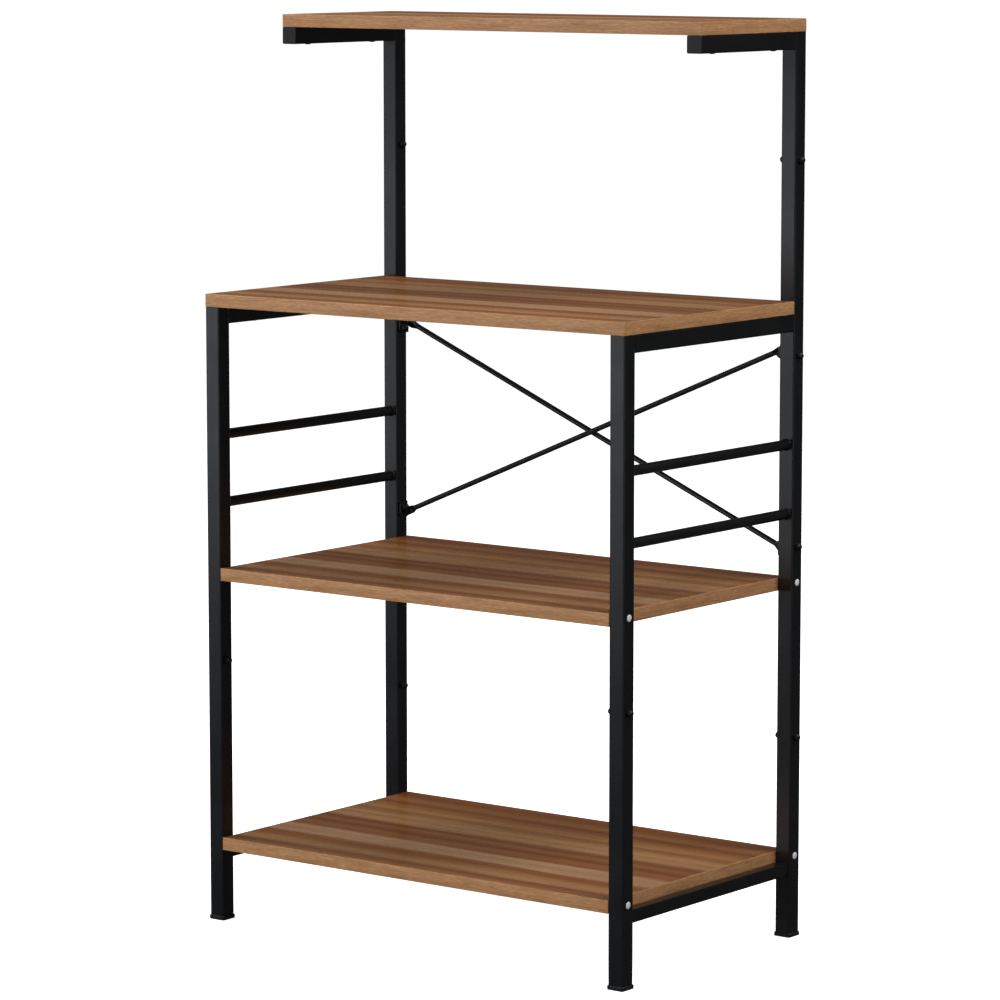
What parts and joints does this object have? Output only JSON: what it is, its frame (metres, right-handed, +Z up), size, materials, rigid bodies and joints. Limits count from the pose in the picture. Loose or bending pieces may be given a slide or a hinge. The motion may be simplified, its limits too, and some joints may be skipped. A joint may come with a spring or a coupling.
{
  "type": "shelving unit",
  "caption": "Free-standing shelving unit of square steel tube and wood boards, with a counter at table height, side guard bars, a crossed rear brace and a shallow raised top board.",
  "frame": {"origin": "on the floor, at the centre of the whole outline seen from above", "axes": "+Z up, -Y towards the front where things are put in, +X to the right seen from the front"},
  "size_m": [0.6116, 0.3558, 1.06],
  "materials": {
    "powder_coated_steel": "satin black powder coat",
    "wood_laminate": "brown wood-grain laminate, satin",
    "edge_banding": "wood-grain edge banding, satin",
    "black_plastic": "moulded, matt",
    "black_steel": "black coated fastener",
    "zinc_plated_steel": "bright zinc plate",
    "bare_steel": "drawn tube, uncoated"
  },
  "bodies": {
    "root": {"arm_cap_left": "black_plastic", "arm_cap_right": "black_plastic", "base_rail_left": "powder_coated_steel", "base_rail_right": "powder_coated_steel", "bottom_board": "wood_laminate", "bottom_board_banding": "edge_banding", "brace_bolts": "black_steel", "brace_cap_nuts": "black_steel", "brace_rod_back": "powder_coated_steel", "brace_rod_front": "powder_coated_steel", "counter_board": "wood_laminate", "counter_board_banding": "edge_banding", "counter_board_screws": "black_steel", "counter_rail_left": "powder_coated_steel", "counter_rail_right": "powder_coated_steel", "front_connector_left": "bare_steel", "front_connector_right": "bare_steel", "front_foot_left": "black_plastic", "front_foot_right": "black_plastic", "front_leg_left": "powder_coated_steel", "front_leg_right": "powder_coated_steel", "front_post_left": "powder_coated_steel", "front_post_right": "powder_coated_steel", "joint_bolts": "black_steel", "joint_cap_nuts": "black_steel", "lower_guard_bar_left": "powder_coated_steel", "lower_guard_bar_right": "powder_coated_steel", "middle_board": "wood_laminate", "middle_board_banding": "edge_banding", "rear_connector_left": "bare_steel", "rear_connector_right": "bare_steel", "rear_foot_left": "black_plastic", "rear_foot_right": "black_plastic", "rear_leg_left": "powder_coated_steel", "rear_leg_right": "powder_coated_steel", "rear_post_left": "powder_coated_steel", "rear_post_right": "powder_coated_steel", "rear_riser_left": "powder_coated_steel", "rear_riser_right": "powder_coated_steel", "riser_connector_left": "bare_steel", "riser_connector_right": "bare_steel", "shelf_screws": "zinc_plated_steel", "top_arm_left": "powder_coated_steel", "top_arm_right": "powder_coated_steel", "top_board": "wood_laminate", "top_board_banding": "edge_banding", "top_board_screws": "black_steel", "upper_guard_bar_left": "powder_coated_steel", "upper_guard_bar_right": "powder_coated_steel"}
  },
  "joints": []
}
